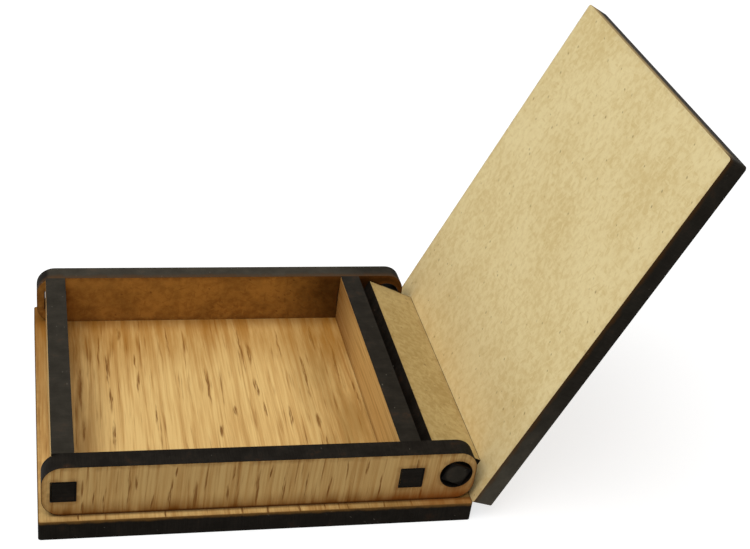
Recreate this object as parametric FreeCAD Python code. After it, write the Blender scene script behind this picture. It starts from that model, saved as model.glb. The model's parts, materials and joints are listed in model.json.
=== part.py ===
"""A keepsake box of thin veneered sheet, with a lid that pivots on a bar.

Millimetres. +Z is up, the front is at -Y and the hinge is at +X. The origin is the centre of the
base's underside. Each panel is cut from fibreboard with oak veneer glued to one face, so each is
two sub-parts: its board and its veneer. The lid is shown open, leaning on the base's edge.
"""
import FreeCAD, Part
import math
import os

# Sheet
BOARD = 2.5
VENEER = 0.5
SHEET = BOARD + VENEER

# Base plate
BASE_LENGTH = 60.0
BASE_DEPTH = 51.4
BASE_CORNER_RADIUS = 0.4

# Side walls
LEDGE = 1.3
WALL_HEIGHT = 8.2
WALL_INSET = 0.4

# Cross walls and their tenons
WALL_END_MARGIN = 1.35
TENON_HEIGHT = 3.0
TENON_SIDE_CLEARANCE = 0.08
TENON_END_CLEARANCE = 0.08

# Hinge bar
PIVOT_RISE = 0.3
TAB_HEIGHT = 3.3
TAB_CLEARANCE = 0.07
HOLE_MARGIN = 0.55
BAR_END_CLEARANCE = 0.2
BAR_FLOOR_CLEARANCE = 0.13
BAR_WALL_CLEARANCE = 0.68

# Lid. Its edges slope a little, as a laser's cut does, so its veneer is smaller than its board.
LID_CORNER_RADIUS = 0.5
LID_EDGE_SLOPE = 0.2
LID_CLEARANCE = 0.5
STOP_CLEARANCE_DEGREES = 0.4

# Planes of the base and the walls
LEFT = -BASE_LENGTH / 2
RIGHT = BASE_LENGTH / 2
FLOOR = SHEET
WALL_TOP = FLOOR + WALL_HEIGHT
OUTER_Y = BASE_DEPTH / 2 - LEDGE
INNER_Y = OUTER_Y - SHEET

# The hinge holes take the tabs' corners. Their centre lies a little above the middle of the walls,
# so that the bar can be as deep below the pivot as above it and still turn clear of the floor.
HOLE_RADIUS = math.hypot(SHEET, TAB_HEIGHT) / 2 + TAB_CLEARANCE
PIVOT_INSET = HOLE_RADIUS + HOLE_MARGIN
PIVOT_HEIGHT = WALL_HEIGHT / 2 + PIVOT_RISE
PIVOT = FreeCAD.Vector(RIGHT - PIVOT_INSET, 0, FLOOR + PIVOT_HEIGHT)
HINGE_AXIS = FreeCAD.Vector(0, 1, 0)

# The walls' ends are round about a line straight above and below the pivot, so the lid rolls over
# them. A round can't be larger than half the wall's height.
LARGEST_ROUND = 0.49 * WALL_HEIGHT
WALL_CORNER_RADIUS = min(PIVOT_INSET, LARGEST_ROUND)

# The bar's foot turns on a circle that clears the floor and the right wall.
LID_UNDERSIDE = WALL_TOP + LID_CLEARANCE
BAR_SWEEP_RADIUS = PIVOT_HEIGHT - BAR_FLOOR_CLEARANCE
BAR_FOOT = PIVOT.z - math.sqrt(BAR_SWEEP_RADIUS ** 2 - (SHEET / 2) ** 2)

LEFT_WALL_X = LEFT + WALL_INSET + WALL_END_MARGIN
RIGHT_WALL_X = PIVOT.x - BAR_SWEEP_RADIUS - BAR_WALL_CLEARANCE - SHEET
TENON_MIDDLE = FLOOR + WALL_HEIGHT / 2

# Shut, the lid ends flush with the base. Open, its end edge comes down on the base's top corner,
# at twice the angle between the level and the line from the pivot to that corner.
STOP_ANGLE = 2 * math.degrees(math.atan2(PIVOT_HEIGHT, PIVOT_INSET))
OPEN_ANGLE = STOP_ANGLE - STOP_CLEARANCE_DEGREES

TOWARDS_LEFT = FreeCAD.Vector(-1, 0, 0)
TOWARDS_RIGHT = FreeCAD.Vector(1, 0, 0)
TOWARDS_FRONT = FreeCAD.Vector(0, -1, 0)
TOWARDS_REAR = FreeCAD.Vector(0, 1, 0)
UPWARDS = FreeCAD.Vector(0, 0, 1)


def block(x_range, y_range, z_range):
    """A block between two planes along each axis."""
    low = FreeCAD.Vector(x_range[0], y_range[0], z_range[0])
    high = FreeCAD.Vector(x_range[1], y_range[1], z_range[1])
    size = high - low
    return Part.makeBox(size.x, size.y, size.z, low)


def around(middle, size):
    """The range of a given size about a middle."""
    return middle - size / 2, middle + size / 2


def round_corners(panel, thickness_direction, radius):
    """Round the four corners of a rectangular panel."""
    corners = []
    for edge in panel.Edges:
        direction = edge.tangentAt(edge.FirstParameter)
        if abs(direction.dot(thickness_direction)) > 0.99:
            corners.append(edge)
    return panel.makeFillet(radius, corners)


def laminate(name, panel, veneer_side):
    """Part a panel at its glue line into its board and its veneer."""
    bounds = panel.BoundBox
    ranges = [[bounds.XMin, bounds.XMax], [bounds.YMin, bounds.YMax], [bounds.ZMin, bounds.ZMax]]
    for axis_range, component in zip(ranges, veneer_side):
        if component > 0:
            axis_range[1] -= VENEER
        elif component < 0:
            axis_range[0] += VENEER
    board_space = block(*ranges)
    return {name + "_board": panel.common(board_space), name + "_veneer": panel.cut(board_space)}


def make_base():
    """The base plate, with its veneer as the floor of the box."""
    plate = block((LEFT, RIGHT), around(0, BASE_DEPTH), (0, FLOOR))
    plate = round_corners(plate, UPWARDS, BASE_CORNER_RADIUS)
    return laminate("base", plate, UPWARDS)


def make_side_wall(name, outwards):
    """A long wall with its round ends, two tenon slots and the hinge hole."""
    y_range = sorted((outwards.y * INNER_Y, outwards.y * OUTER_Y))
    wall = block((LEFT + WALL_INSET, RIGHT), y_range, (FLOOR, WALL_TOP))
    wall = round_corners(wall, outwards, WALL_CORNER_RADIUS)
    slot_height = around(TENON_MIDDLE, TENON_HEIGHT + 2 * TENON_END_CLEARANCE)
    for cross_wall_x in (LEFT_WALL_X, RIGHT_WALL_X):
        slot_width = around(cross_wall_x + SHEET / 2, SHEET + 2 * TENON_SIDE_CLEARANCE)
        wall = wall.cut(block(slot_width, y_range, slot_height))
    hole_start = FreeCAD.Vector(PIVOT.x, y_range[0], PIVOT.z)
    wall = wall.cut(Part.makeCylinder(HOLE_RADIUS, SHEET, hole_start, HINGE_AXIS))
    return laminate(name, wall, outwards)


def make_cross_wall(name, x, veneer_side):
    """A wall between the side walls, with a tenon through each of them."""
    x_range = (x, x + SHEET)
    wall = block(x_range, (-INNER_Y, INNER_Y), (FLOOR, WALL_TOP))
    tenons = block(x_range, (-OUTER_Y, OUTER_Y), around(TENON_MIDDLE, TENON_HEIGHT))
    return laminate(name, wall.fuse(tenons).removeSplitter(), veneer_side)


def make_hinge_bar():
    """The bar that carries the lid, as it stands with the lid shut."""
    x_range = around(PIVOT.x, SHEET)
    bar_end = INNER_Y - BAR_END_CLEARANCE
    bar = block(x_range, (-bar_end, bar_end), (BAR_FOOT, LID_UNDERSIDE))
    tabs = block(x_range, (-OUTER_Y, OUTER_Y), around(PIVOT.z, TAB_HEIGHT))
    return laminate("hinge_bar", bar.fuse(tabs).removeSplitter(), TOWARDS_RIGHT)


def make_lid():
    """The lid as it lies when shut. Its underside is the size of the base."""
    half_depth = BASE_DEPTH / 2
    top_half_depth = half_depth - LID_EDGE_SLOPE
    top_left, top_right = LEFT + LID_EDGE_SLOPE, RIGHT - LID_EDGE_SLOPE
    # FreeCAD's wedge narrows along Y, so it is made on its side and tipped up.
    plate = Part.makeWedge(
        LEFT, 0, -half_depth, -top_half_depth, top_left,
        RIGHT, SHEET, half_depth, top_half_depth, top_right,
    )
    plate = plate.rotated(FreeCAD.Vector(), TOWARDS_RIGHT, 90)
    plate = plate.translated(UPWARDS * LID_UNDERSIDE)
    plate = round_corners(plate, UPWARDS, LID_CORNER_RADIUS)
    return laminate("lid", plate, UPWARDS)


def swing_open(pieces):
    """Turn the lid's pieces about the hinge holes to where the lid leans open."""
    return {name: piece.rotated(PIVOT, HINGE_AXIS, OPEN_ANGLE) for name, piece in pieces.items()}


def make_box():
    """All the sub-parts, by name."""
    pieces = {}
    pieces.update(make_base())
    pieces.update(make_side_wall("front_wall", TOWARDS_FRONT))
    pieces.update(make_side_wall("rear_wall", TOWARDS_REAR))
    pieces.update(make_cross_wall("left_wall", LEFT_WALL_X, TOWARDS_LEFT))
    pieces.update(make_cross_wall("right_wall", RIGHT_WALL_X, TOWARDS_LEFT))
    pieces.update(swing_open(make_hinge_bar()))
    pieces.update(swing_open(make_lid()))
    return pieces


os.makedirs("parts", exist_ok=True)
for piece_name, piece in make_box().items():
    piece.exportStep(os.path.join("parts", piece_name + ".step"))
print("pivot", PIVOT, "open angle", round(OPEN_ANGLE, 3))
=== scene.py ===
# %% [markdown]
# # A keepsake box with a lid that pivots on a bar
#
# The real box is about the size of a matchbox. A hot beam cuts its seven panels from fibreboard
# that has oak veneer glued to one side. So every panel has an oak face, a bare face and black,
# scorched edges. This lesson keeps the panels as the frame gives them and gives each one a finish
# made of nodes: oak with its grain and pores, fibreboard with its fibres, and the scorched cut.

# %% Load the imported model
import bpy
import json
import math
from mathutils import Matrix, Vector

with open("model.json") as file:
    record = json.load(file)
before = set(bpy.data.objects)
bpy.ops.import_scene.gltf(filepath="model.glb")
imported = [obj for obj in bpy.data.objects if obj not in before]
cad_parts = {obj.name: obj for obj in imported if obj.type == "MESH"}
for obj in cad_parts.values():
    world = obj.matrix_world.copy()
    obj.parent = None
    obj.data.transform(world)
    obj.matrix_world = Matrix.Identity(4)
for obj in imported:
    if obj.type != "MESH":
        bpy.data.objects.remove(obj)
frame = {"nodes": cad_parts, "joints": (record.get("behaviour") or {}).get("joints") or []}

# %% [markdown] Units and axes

MM = 0.001
X, Y, Z = 0, 1, 2
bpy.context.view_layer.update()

# %% [markdown]
# The lid and its bar stand open in the frame. A finish is easier to describe on a panel that lies
# square to the axes, so these two are measured as they lie when shut. The joint says where the
# pivot is and how far the lid has turned. Turning each vertex back gives the shut panel.

# %% Measure the pivot and the panels
hinge = frame["joints"][0]
PIVOT = Vector(hinge["pos_m"]) / MM
HINGE_AXIS = Vector(hinge["axis"])
OPEN_ANGLE = math.radians(-hinge["range_deg"][0])
SWINGING = ("lid", "hinge_bar")


def panel_ranges(panel):
    """The ranges of a whole panel, board and veneer, along x, y and z in mm, with the lid shut."""
    back = Matrix.Rotation(-OPEN_ANGLE if panel in SWINGING else 0.0, 3, HINGE_AXIS)
    points = []
    for layer in ("_board", "_veneer"):
        for vertex in frame["nodes"][panel + layer].data.vertices:
            points.append(back @ (vertex.co / MM - PIVOT) + PIVOT)
    return [(min(p[axis] for p in points), max(p[axis] for p in points)) for axis in (X, Y, Z)]


PANELS = ("base", "front_wall", "rear_wall", "left_wall", "right_wall", "hinge_bar", "lid")
RANGES = {panel: panel_ranges(panel) for panel in PANELS}
for panel, ranges in RANGES.items():
    print(panel, [[round(value, 2) for value in pair] for pair in ranges])

# %% [markdown]
# A camera is a point, a direction and a lens. This one looks down into the box from the front
# left. It is turned a little on its own axis, so the base seems to rise towards the right. The
# three directions of its picture are worked out from the turn, the tilt and the roll, and become
# the columns of its matrix.

# %% Set up the camera
CAMERA_PLACE = Vector((-0.031386, -0.164904, 0.129861))
CAMERA_TURN = 0.261627
CAMERA_TILT = 0.556729
CAMERA_ROLL = -0.131992
CAMERA_LENS = 66.245
CAMERA_SHIFT = (0.0523, 0.0117)
SENSOR_WIDTH = 36.0
NEAREST_SEEN = 0.01
FARTHEST_SEEN = 20.0

look = Vector((
    math.sin(CAMERA_TURN) * math.cos(CAMERA_TILT),
    math.cos(CAMERA_TURN) * math.cos(CAMERA_TILT),
    -math.sin(CAMERA_TILT),
))
level = Vector((math.cos(CAMERA_TURN), -math.sin(CAMERA_TURN), 0.0))
upright = level.cross(look)
picture_right = math.cos(CAMERA_ROLL) * level - math.sin(CAMERA_ROLL) * upright
picture_up = math.sin(CAMERA_ROLL) * level + math.cos(CAMERA_ROLL) * upright

camera_data = bpy.data.cameras.new("camera")
camera_data.lens = CAMERA_LENS
camera_data.sensor_width = SENSOR_WIDTH
camera_data.sensor_fit = "HORIZONTAL"
camera_data.shift_x, camera_data.shift_y = CAMERA_SHIFT
camera_data.clip_start = NEAREST_SEEN
camera_data.clip_end = FARTHEST_SEEN
camera = bpy.data.objects.new("camera", camera_data)
bpy.context.scene.collection.objects.link(camera)
camera_axes = Matrix((picture_right, picture_up, -look)).transposed().to_4x4()
camera.matrix_world = Matrix.Translation(CAMERA_PLACE) @ camera_axes
bpy.context.scene.camera = camera
print("camera looks along", [round(value, 3) for value in look])

# %% [markdown]
# In Blender a finish is a tree of nodes. The sums in it are much easier to read as ordinary
# expressions. This small class wraps one output of a node, and each operator on it adds a Math
# node. Every other node comes from the one method called node.

# %% A wire between nodes that can be worked with like a number
class Wire:
    """One output of a node in a finish, or the bare tree of the finish if it has no socket."""

    def __init__(self, tree, socket=None):
        self.tree = tree
        self.socket = socket

    def node(self, kind, settings=None, sockets=None, output=0):
        """Add a node. Its settings come first, then the value or the wire of each socket."""
        made = self.tree.nodes.new(kind)
        for name, value in (settings or {}).items():
            setattr(made, name, value)
        for name, value in (sockets or {}).items():
            if isinstance(value, Wire):
                self.tree.links.new(value.socket, made.inputs[name])
            else:
                made.inputs[name].default_value = value
        return Wire(self.tree, made.outputs[output] if made.outputs else None)

    def other(self, output):
        """Another output of the same node."""
        return Wire(self.tree, self.socket.node.outputs[output])

    def math(self, operation, *values):
        """A Math node on these values."""
        return self.node("ShaderNodeMath", {"operation": operation}, dict(enumerate(values)))

    def __add__(self, value):
        return self.math("ADD", self, value)

    def __sub__(self, value):
        return self.math("SUBTRACT", self, value)

    def __mul__(self, value):
        return self.math("MULTIPLY", self, value)

    def __truediv__(self, value):
        return self.math("DIVIDE", self, value)

    def __pow__(self, value):
        return self.math("POWER", self, value)

    def __abs__(self):
        return self.math("ABSOLUTE", self)

    def __neg__(self):
        return self.math("MULTIPLY", self, -1.0)

    def __rsub__(self, value):
        return self.math("SUBTRACT", value, self)

    __radd__ = __add__
    __rmul__ = __mul__

    def smaller(self, value):
        """The smaller of this and another value."""
        return self.math("MINIMUM", self, value)

    def larger(self, value):
        """The larger of this and another value."""
        return self.math("MAXIMUM", self, value)

    def rise(self, low, high):
        """0 below low and 1 above high, with a smooth rise between them."""
        sockets = {"Value": self, "From Min": low, "From Max": high}
        return self.node("ShaderNodeMapRange", {"interpolation_type": "SMOOTHSTEP"}, sockets)


# %% [markdown]
# Colours are written as a maker would pick them on a screen, from 0 to 255. Blender mixes light,
# not screen values, so each colour is turned into light first. Two colours are mixed by a Mix
# node, because a Math node would turn them grey.

# %% Colours
def paint(red, green, blue):
    """A screen colour as the amounts of light that Blender mixes."""
    light = []
    for value in (red, green, blue):
        share = value / 255
        light.append(share / 12.92 if share <= 0.04045 else ((share + 0.055) / 1.055) ** 2.4)
    return (*light, 1.0)


WHITE = paint(255, 255, 255)


def paint_over(under, over, amount):
    """One colour over another. The amount runs from 0, none, to 1, all of it."""
    sockets = {0: amount, 6: under, 7: over}
    return amount.node("ShaderNodeMix", {"data_type": "RGBA"}, sockets, 2)


# %% [markdown]
# Grain, fibres and smoke are all made from smooth random patches. Stretched patches give streaks.
# Small round cells with a random number each give specks. A line that stands out on the real box
# is given in a list. The grain and its lines wander a little, by a fraction of a mm. All of these
# are laid out in mm on the panel, so they stay on it when the lid turns.

# %% Random patches, flecks and lines
WANDER = 0.9


def in_space(x, y, z=0.0):
    """Three values as one place in space."""
    wire = next(value for value in (x, y, z) if isinstance(value, Wire))
    return wire.node("ShaderNodeCombineXYZ", None, {0: x, 1: y, 2: z})


def patches(place, detail=2.0, roughness=0.5):
    """Smooth random patches about one unit apart, mostly between 0.3 and 0.7."""
    sockets = {"Vector": place, "Scale": 1.0, "Detail": detail, "Roughness": roughness}
    return place.node("ShaderNodeTexNoise", None, sockets)


def stretched(place_mm, stretch):
    """The place in mm, scaled by its own number along each axis."""
    return place_mm.node("ShaderNodeVectorMath", {"operation": "MULTIPLY"}, {0: place_mm, 1: stretch})


def flecks(across, along, width, length, chance, seed):
    """Scattered flecks: 1 in the middle of each fleck and 0 between them."""
    place = in_space(across / (4 * width) + seed, along / (2 * length))
    cells = place.node("ShaderNodeTexVoronoi", {"voronoi_dimensions": "2D"}, {"Scale": 1.0, 0: place})
    luck = cells.node("ShaderNodeSeparateColor", None, {0: cells.other("Color")})
    picked = 1 - luck.rise(chance - 0.02, chance + 0.02)
    return (1 - cells.rise(0.03, 0.12 + 0.14 * luck.other(1))) * picked


def lines_at(across, along, lines):
    """Soft lines. Each is given by its place across, both its ends along, and its width."""
    wander = patches(in_space(across * 0.2, along * 0.22, 5.0), 2.0)
    bent = across + WANDER * (wander - 0.5)
    strongest = None
    for place, end, other_end, width in lines:
        aside = (bent - place) / width
        onward = (along - (end + other_end) / 2) / (0.5 * abs(end - other_end) + width)
        line = 1 - (aside ** 2 + onward ** 2).rise(0.0, 1.0)
        strongest = line if strongest is None else strongest.larger(line)
    return strongest


# %% [markdown]
# Where the beam cuts, the panel turns black, and next to the cut it turns brown. So every finish
# needs to know how far a point is from the nearest cut. For a plate with round corners this is a
# short sum. A panel with tenons is the larger of two plates, and a slot or a hole is a plate or a
# disc taken away.

# %% The distance from the nearest cut
def inside_plate(first, second, first_range, second_range, corner=0.0, trimmed=0.0):
    """How deep a point lies inside a plate that is trimmed all round. It is below 0 outside."""
    first_half = (first_range[1] - first_range[0]) / 2 - corner
    second_half = (second_range[1] - second_range[0]) / 2 - corner
    first_out = abs(first - sum(first_range) / 2) - first_half + trimmed
    second_out = abs(second - sum(second_range) / 2) - second_half + trimmed
    past_corner = (first_out.larger(0.0) ** 2 + second_out.larger(0.0) ** 2) ** 0.5
    return corner - past_corner - first_out.larger(second_out).smaller(0.0)


def inside_disc(first, second, middle, radius):
    """How deep a point lies inside a disc, in mm."""
    return radius - ((first - middle[0]) ** 2 + (second - middle[1]) ** 2) ** 0.5


# %% [markdown]
# These are the outlines of the seven panels. The frame gives the size of each one. Inside it,
# a slot is as wide as the wall that goes through it and a little play, and the hinge hole is
# about the pivot. The lid's edges slope, so its outline shrinks a little towards its veneer.

# %% The outline of each panel
BASE_CORNER = 0.4
LID_CORNER = 0.5
LID_EDGE_SLOPE = 0.2
SLOT_PLAY = 0.08
SLOT_SCORCH = 0.1
BAR_PLAY = 0.2
TENON_HEIGHT = 3.0
TAB_HEIGHT = 3.3
HINGE_HOLE = 2.3
WALL_CORNER = RANGES["base"][X][1] - PIVOT.x
FLOOR = RANGES["base"][Z][1]
WALL_TOP = RANGES["front_wall"][Z][1]
TENON_MIDDLE = (FLOOR + WALL_TOP) / 2
INNER_Y, OUTER_Y = RANGES["rear_wall"][Y]


def around(middle, size):
    """The range of a given size about a middle."""
    return (middle - size / 2, middle + size / 2)


def from_cut(panel, x, y, z):
    """How far a point of a panel is from the panel's nearest cut, in mm."""
    x_range, y_range, z_range = RANGES[panel]
    if panel == "base":
        return inside_plate(x, y, x_range, y_range, BASE_CORNER)
    if panel == "lid":
        rise = (z - z_range[0]) / (z_range[1] - z_range[0])
        return inside_plate(x, y, x_range, y_range, LID_CORNER, LID_EDGE_SLOPE * rise)
    if panel in ("front_wall", "rear_wall"):
        distance = inside_plate(x, z, x_range, z_range, WALL_CORNER)
        slot_height = around(TENON_MIDDLE, TENON_HEIGHT + 2 * SLOT_PLAY)
        for crossing in ("left_wall", "right_wall"):
            low, high = RANGES[crossing][X]
            slot = inside_plate(x, z, (low - SLOT_PLAY, high + SLOT_PLAY), slot_height)
            distance = distance.smaller(-slot - SLOT_SCORCH)
        return distance.smaller(-inside_disc(x, z, (PIVOT.x, PIVOT.z), HINGE_HOLE))
    if panel == "hinge_bar":
        body = inside_plate(y, z, (BAR_PLAY - INNER_Y, INNER_Y - BAR_PLAY), z_range)
        return body.larger(inside_plate(y, z, y_range, around(PIVOT.z, TAB_HEIGHT)))
    body = inside_plate(y, z, (-INNER_Y, INNER_Y), z_range)
    return body.larger(inside_plate(y, z, y_range, around(TENON_MIDDLE, TENON_HEIGHT)))


print("floor", round(FLOOR, 2), "wall top", round(WALL_TOP, 2), "wall corner", round(WALL_CORNER, 2))

# %% [markdown]
# The scorched cut is charcoal black and nearly dull. The beam leaves fine lines through the
# thickness, made from patches that are short along the panel and long through it. Next to a flat
# face the black fades into brown. It fades most on the side where the beam came out cooler, which
# is the veneer of the base and the bare side of the lid and the rear wall. Hands and dust have
# greyed the top edges of some walls, and a few pale scuffs are left where they were knocked. The
# grey along the lid's long edges, growing towards the hinge, is a painted sheen, and a pale band on
# the lid's free end beside its bare face is a painted highlight. The ends of the hinge bar's square
# tabs are painted blackest round their corners, as dark as the shade in the hole about them, and a
# little lighter in the middle.

# %% The scorched cut
HOLE_SHADE_BLACK = paint(6, 4, 3)
CHAR_BLACK = paint(17, 13, 8)
CHAR_GREY = paint(33, 29, 24)
CHAR_BROWN = paint(60, 34, 12)
CHAR_DUST_AND_SHEEN = paint(126, 119, 104)
CHAR_SCUFF = paint(160, 154, 140)
CHAR_PAINTED_HIGHLIGHT = paint(186, 158, 108)
THICKNESS_AXIS = {"base": Z, "lid": Z, "front_wall": Y, "rear_wall": Y}
LINES_PER_MM = 6.0
LINES_THROUGH_PER_MM = 0.3
LOW_SIDE, HIGH_SIDE = 0, 1
# Where the black fades: on which side, how far in mm, how much, and into which brown.
FADING = {
    "base": (HIGH_SIDE, 0.55, 0.8, paint(128, 92, 46)),
    "lid": (LOW_SIDE, 0.9, 0.6, paint(92, 58, 20)),
    "rear_wall": (LOW_SIDE, 1.3, 0.65, paint(88, 60, 34)),
}
# How much dust lies on a wall's top edge.
DUST = {"rear_wall": 0.19, "left_wall": 0.11, "right_wall": 0.04}


def scorched(panel, place_mm, axes):
    """The colour of a cut, and the fine lines through its thickness."""
    axis = THICKNESS_AXIS.get(panel, X)
    squeeze = [LINES_PER_MM] * 3
    squeeze[axis] = LINES_THROUGH_PER_MM
    lines = patches(stretched(place_mm, squeeze), 2.0)
    clouds = patches(stretched(place_mm, (0.35, 0.35, 0.35)), 4.0, 0.65)
    colour = paint_over(CHAR_BLACK, CHAR_GREY, (lines * 0.35 + clouds * 0.65).rise(0.36, 0.66))
    colour = paint_over(colour, CHAR_BROWN, clouds.rise(0.56, 0.78) * 0.5)
    dust_and_sheen = axes[Z].rise(WALL_TOP - 0.4, WALL_TOP - 0.1) * DUST.get(panel, 0.0)
    # On the lid, the grey along the long edges that grows towards the hinge is a painted sheen.
    if panel == "lid":
        dust_and_sheen = 0.05 + axes[X].rise(6.0, 30.0) * 0.36
    if panel == "rear_wall":
        dust_and_sheen = dust_and_sheen * (1 - 0.6 * axes[X].rise(17.0, 24.0))
    # The tab's corners are painted near black, as dark as the shade in the hole round the tab, and its
    # middle a little lighter.
    if panel == "hinge_bar":
        from_pivot = ((axes[X] - PIVOT.x) ** 2 + (axes[Z] - PIVOT.z) ** 2) ** 0.5
        on_tab = abs(axes[Y]).rise(INNER_Y, INNER_Y + 0.1)
        colour = paint_over(colour, HOLE_SHADE_BLACK, on_tab * from_pivot.rise(1.5, 1.85) * 0.9)
        dust_and_sheen = on_tab * 0.1 * (1 - from_pivot.rise(1.3, 1.6))
    colour = paint_over(colour, CHAR_DUST_AND_SHEEN, dust_and_sheen * (0.5 + clouds))
    if panel in FADING:
        side, reach, amount, brown = FADING[panel]
        low, high = RANGES[panel][axis]
        from_side = axes[axis] - low if side == LOW_SIDE else high - axes[axis]
        fading = 1 - (from_side + 1.6 * reach * (clouds - 0.5)).rise(0.0, reach)
        colour = paint_over(colour, brown, fading * amount)
        # On the lid's free end, beside its bare face, the pale band is a painted highlight.
        if panel == "lid":
            from_free_end = axes[X] - RANGES[panel][X][0]
            free_end = 1 - from_free_end.rise(0.25, 0.5)
            highlight_beside_face = 1 - (from_side + 0.8 * (clouds - 0.5)).rise(0.3, 1.7)
            past_corner = (axes[Y] - RANGES[panel][Y][0]).rise(0.5, 3.0)
            colour = paint_over(colour, CHAR_PAINTED_HIGHLIGHT, highlight_beside_face * free_end * past_corner * 0.85)
    scuffs = flecks(axes[X] + axes[Z], axes[Y] + axes[Z], 0.14, 0.5, 0.012, 3.0)
    return paint_over(colour, CHAR_SCUFF, scuffs * 0.5), lines


# %% [markdown]
# Oak is pale wood with darker streaks, and with open pores that look like short dark dashes in
# rows. All of it runs along the grain. Broad bands, streaks, fine fibres and pores are layers of
# patches stretched by different amounts. The pores are only the darkest tips of their patches, and they
# come thickest where the rows do, and where a line is listed. A slow wave bends
# everything, so that no line is quite straight.

# %% Oak veneer
OAK_LIGHT = paint(239, 202, 132)
OAK_MID = paint(217, 174, 107)
OAK_DARK = paint(166, 118, 60)
OAK_PORE = paint(108, 63, 20)
# Each layer: its patches per mm across the grain and along it, its own seed, detail and roughness.
GRAIN = {
    "wave": (0.09, 0.035, 0.0, 2.0, 0.5),
    "bands": (0.2, 0.008, 3.0, 3.0, 0.6),
    "streaks": (1.0, 0.02, 7.0, 4.0, 0.65),
    "rows": (0.7, 0.02, 11.0, 2.0, 0.5),
    "fibres": (3.2, 0.09, 13.0, 3.0, 0.6),
    "dashes": (2.4, 0.12, 17.0, 2.0, 0.5),
    "strands": (4.5, 0.3, 19.0, 2.0, 0.6),
    "stains": (0.45, 0.06, 23.0, 4.0, 0.6),
}


def grain(layer, across, along, seed):
    """One layer of the grain."""
    per_mm_across, per_mm_along, own_seed, detail, roughness = GRAIN[layer]
    place = in_space(across * per_mm_across, along * per_mm_along, seed + own_seed)
    return patches(place, detail, roughness)


def oak(across, along, seed, placed=0.0):
    """The colour of oak, and how deep its pores and lines are. Pores crowd in where placed is 1."""
    bent = across + WANDER * grain("wave", across, along, seed)
    bands = grain("bands", bent, along, seed)
    streaks = grain("streaks", bent, along, seed)
    fibres = grain("fibres", bent, along, seed)
    rows = grain("rows", bent, along, seed)
    dashes = grain("dashes", bent, along, seed)
    strands = grain("strands", bent, along, seed).rise(0.4, 0.58)
    colour = paint_over(OAK_LIGHT, OAK_MID, (streaks * 0.6 + fibres * 0.4).rise(0.4, 0.6))
    colour = paint_over(colour, OAK_DARK, (bands * 0.3 + streaks * 0.7).rise(0.5, 0.69) * 0.6)
    tips = dashes + 0.8 * rows + 0.15 * placed
    crowded = placed * (0.2 + 0.8 * strands)
    halo = tips.rise(0.95, 1.18).larger(crowded)
    colour = paint_over(colour, OAK_DARK, halo * 0.6)
    pores = tips.rise(1.09, 1.3).larger(crowded ** 1.5)
    colour = paint_over(colour, OAK_PORE, pores * 0.75)
    return colour, pores + 0.4 * halo + 0.15 * fibres


# %% [markdown]
# Bare fibreboard is pressed from wood fibres that lie in all directions. Up close it is a cloudy
# felt with short light and dark hairs, and here and there a speck of bark. Round patches make the
# clouds. Three sets of stretched patches at different angles make the hairs. The most of the three
# gives the light hairs, and the least of them the dark ones.

# %% Fibreboard
HAIR_ANGLES = (0.4, 1.5, 2.6)


def fibreboard(first, second, light, dark, speck, seed):
    """The colour of bare fibreboard, and how its surface rises and falls."""
    drift = patches(in_space(first * 0.08, second * 0.08, seed), 2.0)
    mottle = patches(in_space(first * 0.85, second * 0.85, seed + 2), 4.0, 0.6)
    colour = paint_over(light, dark, (0.4 * drift + 0.6 * mottle).rise(0.36, 0.68) * 0.85)
    light_hairs, dark_hairs = mottle, mottle
    for number, angle in enumerate(HAIR_ANGLES):
        hair_along = first * math.cos(angle) + second * math.sin(angle)
        hair_across = second * math.cos(angle) - first * math.sin(angle)
        place = in_space(hair_along * 0.5, hair_across * 1.8, seed + 4 * number + 1)
        hairs = patches(place, 1.0)
        light_hairs = light_hairs.larger(hairs)
        dark_hairs = dark_hairs.smaller(hairs)
    colour = paint_over(colour, dark, (1 - dark_hairs).rise(0.6, 0.76) * 0.5)
    colour = paint_over(colour, light, light_hairs.rise(0.6, 0.76) * 0.6)
    bark = flecks(first + 0.4 * second, second, 0.3, 0.6, 0.05, seed + 9)
    return paint_over(colour, speck, bark * 0.6), mottle + 0.5 * light_hairs


# %% [markdown]
# Every finish follows the same steps: find the place on the panel, lay the wood or the
# fibreboard there, stain it where heat has darkened it and paint shade into it where the box
# shades it, then brown the rim and blacken the cut. Roughness and relief come from the same wires
# as the colour, so that a pore is dark and deep at once.

# %% Begin a finish and end it
SMOKE_BROWN = paint(112, 68, 28)
# How brown the smoke leaves a rim, where it isn't the usual amount.
USUAL_SMOKE = 0.5
SMOKE = {"lid": 0.12, "hinge_bar": 0.2, "base": 0.3, "right_wall": 0.15, "left_wall": 0.15}
SHEEN = 0.06
RELIEF_STRENGTH = 0.7
VENEER_RELIEF = 0.05
BOARD_RELIEF = 0.03


def start_finish(name, panel):
    """A new material, the place on the panel in mm with the lid shut, and that place's x, y, z."""
    finish = bpy.data.materials.new(name)
    finish.use_nodes = True
    finish.node_tree.nodes.clear()
    tree = Wire(finish.node_tree)
    place = tree.node("ShaderNodeTexCoord", None, None, "Object")
    if panel in SWINGING:
        sockets = {"Vector": place, "Center": PIVOT * MM, "Axis": HINGE_AXIS, "Angle": -OPEN_ANGLE}
        place = place.node("ShaderNodeVectorRotate", {"rotation_type": "AXIS_ANGLE"}, sockets)
    place_mm = stretched(place, (1 / MM, 1 / MM, 1 / MM))
    parted = place_mm.node("ShaderNodeSeparateXYZ", None, {0: place_mm})
    return finish, place_mm, (parted, parted.other("Y"), parted.other("Z"))


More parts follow.
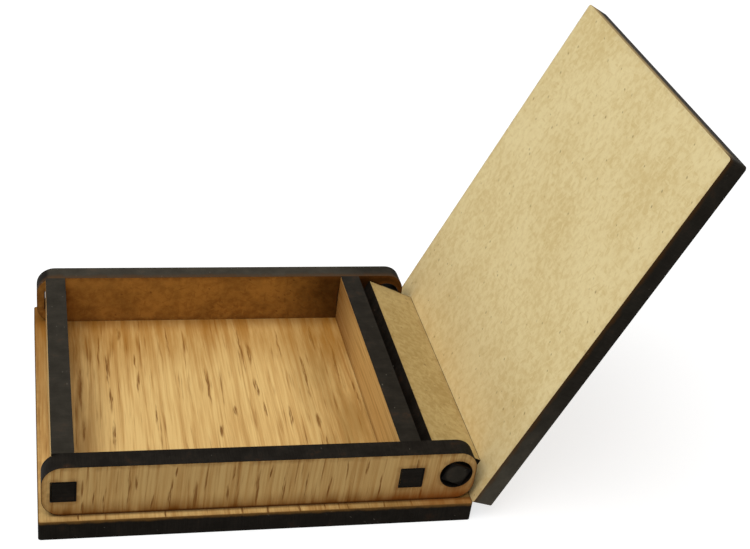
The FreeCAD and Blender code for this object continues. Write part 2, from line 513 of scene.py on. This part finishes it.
def end_finish(finish, panel, place_mm, axes, colour, height, rim, relief_depth):
    """Brown the rim of the face, blacken the cut, and connect everything to the surface."""
    distance = from_cut(panel, *axes)
    ragged = patches(stretched(place_mm, (0.8, 0.8, 0.8)), 3.0)
    smoke = (1 - distance.rise(0.0, 0.3 + 1.2 * ragged)) * (0.35 + 0.65 * ragged.rise(0.35, 0.6))
    colour = paint_over(colour, SMOKE_BROWN, smoke * SMOKE.get(panel, USUAL_SMOKE))
    black, lines = scorched(panel, place_mm, axes)
    cut = 1 - distance.rise(0.02 + rim * 0.5, 0.05 + rim * (0.7 + ragged))
    colour = paint_over(colour, black, cut)
    height = height * (1 - cut) + lines * cut * 0.6
    sockets = {"Strength": RELIEF_STRENGTH, "Distance": relief_depth * MM, "Height": height}
    relief = height.node("ShaderNodeBump", None, sockets)
    sockets = {
        "Base Color": colour,
        "Roughness": 0.6 + 0.1 * lines + 0.1 * cut,
        "Normal": relief,
        "Specular IOR Level": SHEEN,
    }
    surface = height.node("ShaderNodeBsdfPrincipled", None, sockets)
    surface.node("ShaderNodeOutputMaterial", None, {"Surface": surface})
    return finish


def dress(node, finish):
    """Give a CAD node its finish."""
    frame["nodes"][node].data.materials.clear()
    frame["nodes"][node].data.materials.append(finish)
    print(node, "wears", finish.name)


# %% [markdown]
# Each oak face has its own grain direction, and its own stains. On the base and the lid the grain
# runs from front to back. On the long walls it stands upright and leans a little. On the cross
# walls it runs along the wall. Inside the box the base is a little browner towards the walls,
# partly as stain and partly as painted shade from the walls. On the ledge outside, heat from the
# cut has darkened it. The long walls are browned at the foot and round the hinge hole, where the
# smoke was drawn off. The dark seam where a wall stands on the base is partly scorch and partly
# painted shadow, and the gap under a long wall's round corner is painted dark as shade. A cross
# wall's inner face is painted darker towards the rear and along its foot, as shade. A stain is an
# amount and a colour. In the amount, rise says where it begins and ends, and the plain number says
# how strong it is.
#
# The darkest lines are listed, each by its place across, both its ends along, and its
# width, all in mm. Those of the floor and the front wall are then drawn out longer and finer. The
# short ones on the ledge stay as they are.

# %% The oak faces
OAK_BROWN = paint(140, 96, 44)
OAK_ORANGE = paint(172, 116, 40)
OAK_GOLD = paint(186, 144, 70)
OAK_AMBER = paint(148, 109, 50)
OAK_RUST = paint(150, 78, 14)
OAK_RUSSET = paint(168, 108, 48)
OAK_SMOKE_AND_SHADE = paint(122, 70, 4)
SEAM_SCORCH_AND_SHADE = paint(72, 34, 0)
EDGE_BROWN = paint(122, 88, 46)


def base_stains_and_shade(x, y, z, uneven):
    """The base's stains and painted shade: its sides inside the box, a strip at the rear, and the ledge."""
    left = 1 - x.rise(-24.5, -18.0)
    right = x.rise(6.0, 16.0)
    rear = y.rise(3.0, 21.0)
    blotches = uneven.rise(0.35, 0.65)
    ledge = abs(y) - OUTER_Y
    seam = ledge.rise(-0.5, 0.0) * (1 - ledge.rise(0.05, 0.6)) * x.rise(-28.2, -26.8)
    shade_under_corner = 1 - abs(x + 27.2).rise(0.6, 1.6)
    return [
        # The floor's sides and its rear, next to the walls, are browner partly as stain and partly as
        # painted shade.
        (left * (0.05 + 0.45 * blotches), OAK_BROWN),
        (right * (0.4 + 0.35 * blotches), OAK_AMBER),
        ((1 - x.rise(-28.5, -26.0)) * y.rise(-20.0, 8.0) * 0.5, OAK_BROWN),
        (rear * (0.35 + 0.45 * blotches), OAK_ORANGE),
        (y.rise(17.5, 22.0) * 0.5, OAK_SMOKE_AND_SHADE),
        # The seam at a wall's foot is partly scorch and partly painted shadow.
        (seam * (0.55 + 0.4 * uneven), SEAM_SCORCH_AND_SHADE),
        ((1 - x.rise(-28.6, -25.5)) * (1 - y.rise(-23.0, -8.0)) * 0.45, OAK_LIGHT),
        (ledge.rise(-0.2, 0.1) * x.rise(19.0, 25.0) * 0.45, OAK_RUST),
        # The gap under a long wall's round corner is painted dark as shade.
        (ledge.rise(-1.5, -1.0) * (1 - ledge.rise(0.0, 0.3)) * shade_under_corner * 0.75, SEAM_SCORCH_AND_SHADE),
        (ledge.rise(1.0, 1.3) * 0.7, EDGE_BROWN),
        (ledge.rise(-0.5, 0.0) * 0.12, EDGE_BROWN),
    ]


def long_wall_stains_and_shade(x, y, z, uneven):
    """A long wall's stains: its smoky foot, the seam under it, partly painted shadow, and the end round the
    hinge hole.
    """
    height = z - FLOOR
    hinge_end = x.rise(14.0, 29.0)
    foot = (1 - height.rise(-0.9, 3.2)) * (0.45 + 0.8 * uneven.rise(0.3, 0.7))
    return [
        (0.08 + 0.3 * uneven, OAK_RUSSET),
        (foot, OAK_SMOKE_AND_SHADE),
        (hinge_end * (0.15 + 0.75 * uneven) * (1 - height.rise(0.5, 7.0)), OAK_RUST),
        (x.rise(10.0, 22.0) * (1 - height.rise(0.3, 1.8)) * 0.5, OAK_RUST),
        # The dark seam at the foot is partly scorch and partly painted shadow where the wall meets the
        # base.
        ((1 - height.rise(0.1, 0.45)) * 0.9, SEAM_SCORCH_AND_SHADE),
    ]


def cross_wall_stains_and_shade(x, y, z, uneven):
    """A cross wall's inner face is golden, and painted darker towards the rear and along its foot as shade.
    """
    return [
        (0.05 + 0.3 * uneven, OAK_GOLD),
        # Darker towards the rear corner and along the foot: painted shade.
        (y.rise(2.0, 24.0) * 0.75, OAK_SMOKE_AND_SHADE),
        ((1 - (z - FLOOR).rise(0.0, 1.4)) * 0.35, OAK_SMOKE_AND_SHADE),
        ((z - WALL_TOP).rise(-0.7, -0.2) * 0.35, OAK_LIGHT),
    ]


def veneer_blotches(x, y, z, uneven):
    """Stains in soft patches, for a face that is seldom seen."""
    return [(uneven.rise(0.45, 0.75) * 0.3, OAK_BROWN)]


def oak_finish(panel, across_axis, along_axis, lean, seed, stains=veneer_blotches, rim=0.1, lines=()):
    """The finish of a panel's veneer."""
    finish, place_mm, axes = start_finish(panel + "_oak", panel)
    first, second = axes[across_axis], axes[along_axis]
    across = first * math.cos(lean) + second * math.sin(lean)
    along = second * math.cos(lean) - first * math.sin(lean)
    placed = lines_at(first + lean * second, second, lines) if lines else 0.0
    colour, depth = oak(across, along, seed, placed)
    uneven = grain("stains", across, along, seed)
    # Some of these stains are painted shade, as each stain function says.
    for amount, tint in stains(*axes, uneven):
        colour = paint_over(colour, tint, amount)
    return end_finish(finish, panel, place_mm, axes, colour, -depth, rim, VENEER_RELIEF)


LINE_STRETCH = 1.15
LINE_NARROWING = 0.8
FLOOR_LINES = (
    (-23.5, 9.0, -2.0, 0.4), (-23.3, -4.0, -9.0, 0.35), (-20.4, 18.0, 9.0, 0.25), (-19.3, 12.6, 4.0, 0.4),
    (-19.1, 3.5, -2.5, 0.4), (-18.9, -4.5, -11.0, 0.45), (-17.3, 19.0, 16.0, 0.5), (-15.0, 12.0, 8.0, 0.25),
    (-14.8, 7.6, 2.2, 0.35), (-12.6, -1.0, -7.0, 0.3), (-9.6, 20.0, 10.5, 0.25), (-8.6, -10.0, -19.0, 0.25),
    (-4.2, 8.6, -1.5, 0.35), (-3.4, -6.0, -9.0, 0.5), (-0.7, -2.0, -4.2, 0.5), (1.9, 19.0, 9.0, 0.25),
    (3.0, 15.0, 8.5, 0.45), (3.1, 5.0, 0.6, 0.55), (3.8, -1.0, -4.6, 0.3), (7.4, -2.2, -7.0, 0.4),
    (8.2, 18.0, 9.0, 0.25), (11.2, 13.5, -1.0, 0.35), (11.4, -4.3, -7.6, 0.55), (12.0, -9.0, -14.0, 0.3),
    (14.0, 19.5, 12.0, 0.5), (16.6, 15.0, 2.0, 0.35), (18.5, 8.0, -6.0, 0.3),
)
LEDGE_LINES = (
    (-24.5, -24.3, -25.4, 0.2), (-21.0, -24.0, -25.8, 0.15), (-12.8, -24.0, -26.0, 0.2),
    (-7.3, -24.0, -25.4, 0.15), (-2.5, -24.0, -26.0, 0.2), (1.0, -23.6, -26.4, 0.25),
    (5.4, -24.0, -26.0, 0.25), (9.0, -24.2, -25.4, 0.15), (12.2, -24.0, -26.0, 0.25),
    (17.5, -24.2, -25.8, 0.2), (21.4, -24.0, -26.0, 0.15),
)
FRONT_LINES = (
    (-24.6, 9.0, 6.0, 0.25), (-24.4, 5.2, 3.0, 0.3), (-23.0, 7.5, 4.0, 0.2), (-21.6, 7.5, 3.0, 0.3),
    (-18.5, 10.6, 4.0, 0.35), (-17.6, 9.6, 7.0, 0.3), (-15.2, 6.0, 3.2, 0.2), (-12.9, 8.5, 3.0, 0.4),
    (-12.5, 10.6, 9.0, 0.25), (-9.5, 8.0, 3.0, 0.4), (-8.2, 10.5, 6.0, 0.2), (-5.1, 7.0, 4.4, 0.4),
    (-4.6, 10.4, 8.0, 0.25), (-1.1, 9.6, 3.0, 0.4), (0.4, 10.6, 7.0, 0.2), (2.6, 10.6, 3.4, 0.35),
    (5.6, 9.0, 4.0, 0.2), (8.8, 8.0, 4.0, 0.25), (11.0, 10.6, 7.0, 0.2), (13.8, 10.6, 8.0, 0.3),
    (16.2, 8.0, 3.4, 0.25), (21.0, 10.6, 8.0, 0.35), (22.3, 5.0, 3.0, 0.25),
)


def drawn_out(lines):
    """The same lines, longer about their middles and finer."""
    finer = []
    for place, end, other_end, width in lines:
        middle = (end + other_end) / 2
        half = (end - other_end) / 2 * LINE_STRETCH
        finer.append((place, middle + half, middle - half, width * LINE_NARROWING))
    return tuple(finer)


base_lines = drawn_out(FLOOR_LINES) + LEDGE_LINES
front_lines = drawn_out(FRONT_LINES)
dress("base_veneer", oak_finish("base", X, Y, -0.01, 2.0, base_stains_and_shade, 0.08, base_lines))
dress(
    "front_wall_veneer",
    oak_finish("front_wall", X, Z, -0.04, 31.0, long_wall_stains_and_shade, 0.03, front_lines),
)
dress("rear_wall_veneer", oak_finish("rear_wall", X, Z, 0.05, 47.0, long_wall_stains_and_shade, 0.12))
dress("left_wall_veneer", oak_finish("left_wall", Z, Y, 0.01, 53.0, cross_wall_stains_and_shade, 0.02))
dress("right_wall_veneer", oak_finish("right_wall", Z, Y, 0.01, 61.0, cross_wall_stains_and_shade, 0.02))
dress("hinge_bar_veneer", oak_finish("hinge_bar", Z, Y, 0.01, 71.0))
dress("lid_veneer", oak_finish("lid", X, Y, 0.04, 83.0))

# %% [markdown]
# The bare faces differ in tone. The lid's is the palest. The hinge bar is tan, darker partly as
# painted shade from the lid. The bare faces inside the box are browner, partly as painted shade,
# and darkest in the painted shade of the rear corner by the hinge. The hinge bar's tabs are painted
# black where they sit in their holes, as dark as the shade there.

# %% The bare faces
# Each board's light tone, its dark tone and its specks of bark.
PALE = (paint(250, 231, 175), paint(226, 200, 138), paint(130, 100, 56))
# The tan is darker than the pale tone, partly as painted shade from the lid.
TAN = (paint(195, 171, 117), paint(164, 137, 83), paint(92, 66, 36))
# The brown is darker still, partly as painted shade on the bare faces inside the box.
BROWN = (paint(176, 126, 58), paint(130, 84, 32), paint(84, 48, 18))
BROWN_PAINTED_LIGHT = paint(200, 144, 70)
DARK_BLOTCH_AND_SHADE = paint(46, 20, 2)
TAB_SHADE_BLACK = paint(28, 27, 21)


def board_blotches(x, y, z, uneven):
    """Soft patches only."""
    return [(uneven.rise(0.5, 0.8) * 0.2, OAK_BROWN)]


def lid_stains(x, y, z, uneven):
    """The lid is a little warmer near the hinge bar."""
    return [(x.rise(6.0, 28.0) * (0.12 + 0.25 * uneven), OAK_ORANGE)]


def inside_shade_and_stains(x, y, z, uneven):
    """Painted light at the left and top, painted shade darkest by the hinge, and a few dark blotches."""
    return [
        # The lighter left and top are painted light, and the dark right end and hinge corner are painted
        # shade.
        ((1 - x.rise(-26.0, -6.0)) * 0.15, BROWN_PAINTED_LIGHT),
        (z.rise(WALL_TOP - 3.0, WALL_TOP - 0.3) * (1 - x.rise(-14.0, 12.0)) * 0.3, BROWN_PAINTED_LIGHT),
        (x.rise(5.0, 20.0) * (0.55 + 0.5 * uneven), DARK_BLOTCH_AND_SHADE),
        (x.rise(20.0, 22.5) * 0.6, DARK_BLOTCH_AND_SHADE),
        (uneven.rise(0.4, 0.7) * 0.25, DARK_BLOTCH_AND_SHADE),
    ]


def tab_shade(x, y, z, uneven):
    """The bar's tabs are painted black, as dark as the shade in their holes."""
    return [(abs(y).rise(INNER_Y - BAR_PLAY - 0.1, INNER_Y - BAR_PLAY + 0.1), TAB_SHADE_BLACK)]


def board_finish(panel, seed, tones, stains=board_blotches, rim=0.06):
    """The finish of a panel's board."""
    finish, place_mm, axes = start_finish(panel + "_fibreboard", panel)
    thickness = THICKNESS_AXIS.get(panel, X)
    first, second = [axes[axis] for axis in (X, Y, Z) if axis != thickness]
    colour, height = fibreboard(first, second, *tones, seed)
    uneven = patches(stretched(place_mm, (0.2, 0.2, 0.2)), 3.0, 0.6)
    # Some of these stains are painted shade, as each stain function says.
    for amount, tint in stains(*axes, uneven):
        colour = paint_over(colour, tint, amount)
    return end_finish(finish, panel, place_mm, axes, colour, height, rim, BOARD_RELIEF)


dress("base_board", board_finish("base", 5.0, PALE))
dress("front_wall_board", board_finish("front_wall", 15.0, BROWN, inside_shade_and_stains, 0.0))
dress("rear_wall_board", board_finish("rear_wall", 25.0, BROWN, inside_shade_and_stains, 0.0))
dress("left_wall_board", board_finish("left_wall", 35.0, BROWN))
dress("right_wall_board", board_finish("right_wall", 45.0, BROWN))
dress("hinge_bar_board", board_finish("hinge_bar", 55.0, TAN, tab_shade))
dress("lid_board", board_finish("lid", 65.0, PALE, lid_stains, 0.0))

# %% [markdown]
# The box stands on a plain pale floor. To the camera and in reflections the floor gives some light
# of its own, so it looks white round the box and still keeps a soft shadow. The lamp fades far
# from the box, so between two distances, in metres, the floor's own light grows to make up for it.
# The world looks white in the same way, and lights the box only gently.

# %% The floor and the world
FLOOR_HALF = 3.0
FLOOR_GREY = 0.5
FLOOR_GLOW = 0.72
FAR_GLOW = 0.9
GLOW_GROWS_FROM = 0.3
GLOW_GROWS_TO = 1.2
WORLD_LIGHT = 0.28


def seen_directly(tree):
    """1 for the camera, for reflections and for what is seen through, and 0 for the light itself."""
    ray = tree.node("ShaderNodeLightPath")
    return ray.larger(ray.other("Is Glossy Ray")).larger(ray.other("Is Transmission Ray"))


floor_mesh = bpy.data.meshes.new("floor")
corners = [(-1, -1), (1, -1), (1, 1), (-1, 1)]
floor_mesh.from_pydata([(x * FLOOR_HALF, y * FLOOR_HALF, 0.0) for x, y in corners], [], [(0, 1, 2, 3)])
floor = bpy.data.objects.new("floor", floor_mesh)
bpy.context.scene.collection.objects.link(floor)

floor_finish = bpy.data.materials.new("pale_floor")
floor_finish.use_nodes = True
floor_finish.node_tree.nodes.clear()
tree = Wire(floor_finish.node_tree)
place = tree.node("ShaderNodeTexCoord", None, None, "Object")
distance = place.node("ShaderNodeVectorMath", {"operation": "LENGTH"}, {0: place}, "Value")
matt = tree.node("ShaderNodeBsdfDiffuse", None, {"Color": (FLOOR_GREY, FLOOR_GREY, FLOOR_GREY, 1.0)})
glow_here = distance.rise(GLOW_GROWS_FROM, GLOW_GROWS_TO) * (FAR_GLOW - FLOOR_GLOW) + FLOOR_GLOW
strength = seen_directly(tree) * glow_here
glow = tree.node("ShaderNodeEmission", None, {"Color": WHITE, "Strength": strength})
surface = tree.node("ShaderNodeAddShader", None, {0: matt, 1: glow})
tree.node("ShaderNodeOutputMaterial", None, {"Surface": surface})
floor_mesh.materials.append(floor_finish)

world = bpy.data.worlds.new("studio")
bpy.context.scene.world = world
world.use_nodes = True
world.node_tree.nodes.clear()
tree = Wire(world.node_tree)
strength = seen_directly(tree) * (1 - WORLD_LIGHT) + WORLD_LIGHT
glow = tree.node("ShaderNodeBackground", None, {"Color": WHITE, "Strength": strength})
tree.node("ShaderNodeOutputWorld", None, {"Surface": glow})
print("floor", 2 * FLOOR_HALF, "m across, world light", WORLD_LIGHT)

# %% [markdown]
# One large soft lamp stands to the upper left. It is large for the box, so its shadows have wide
# soft edges. The power of a lamp is worked out from how bright a white card under it should be.

# %% The lamp
LAMP_DIRECTION = (-0.3, -0.15, 0.92)
LAMP_DISTANCE = 0.8
LAMP_SIZE = 0.8
LAMP_BRIGHTNESS = 0.8


def lamp(name, direction, distance, size, brightness):
    """A square soft lamp that shines on the box from a direction."""
    data = bpy.data.lights.new(name, "AREA")
    data.size = size
    data.energy = brightness * (math.pi * distance) ** 2
    lamp_object = bpy.data.objects.new(name, data)
    bpy.context.scene.collection.objects.link(lamp_object)
    away = Vector(direction).normalized()
    lamp_object.location = away * distance
    lamp_object.rotation_mode = "QUATERNION"
    lamp_object.rotation_quaternion = away.to_track_quat("Z", "Y")
    print(name, "power", round(data.energy, 2), "W")


lamp("soft_lamp", LAMP_DIRECTION, LAMP_DISTANCE, LAMP_SIZE, LAMP_BRIGHTNESS)

# %% [markdown]
# The colours are shown as they are, with no film look laid over them.

# %% Show plain colours
bpy.context.scene.view_settings.view_transform = "Standard"
print("view transform", bpy.context.scene.view_settings.view_transform)
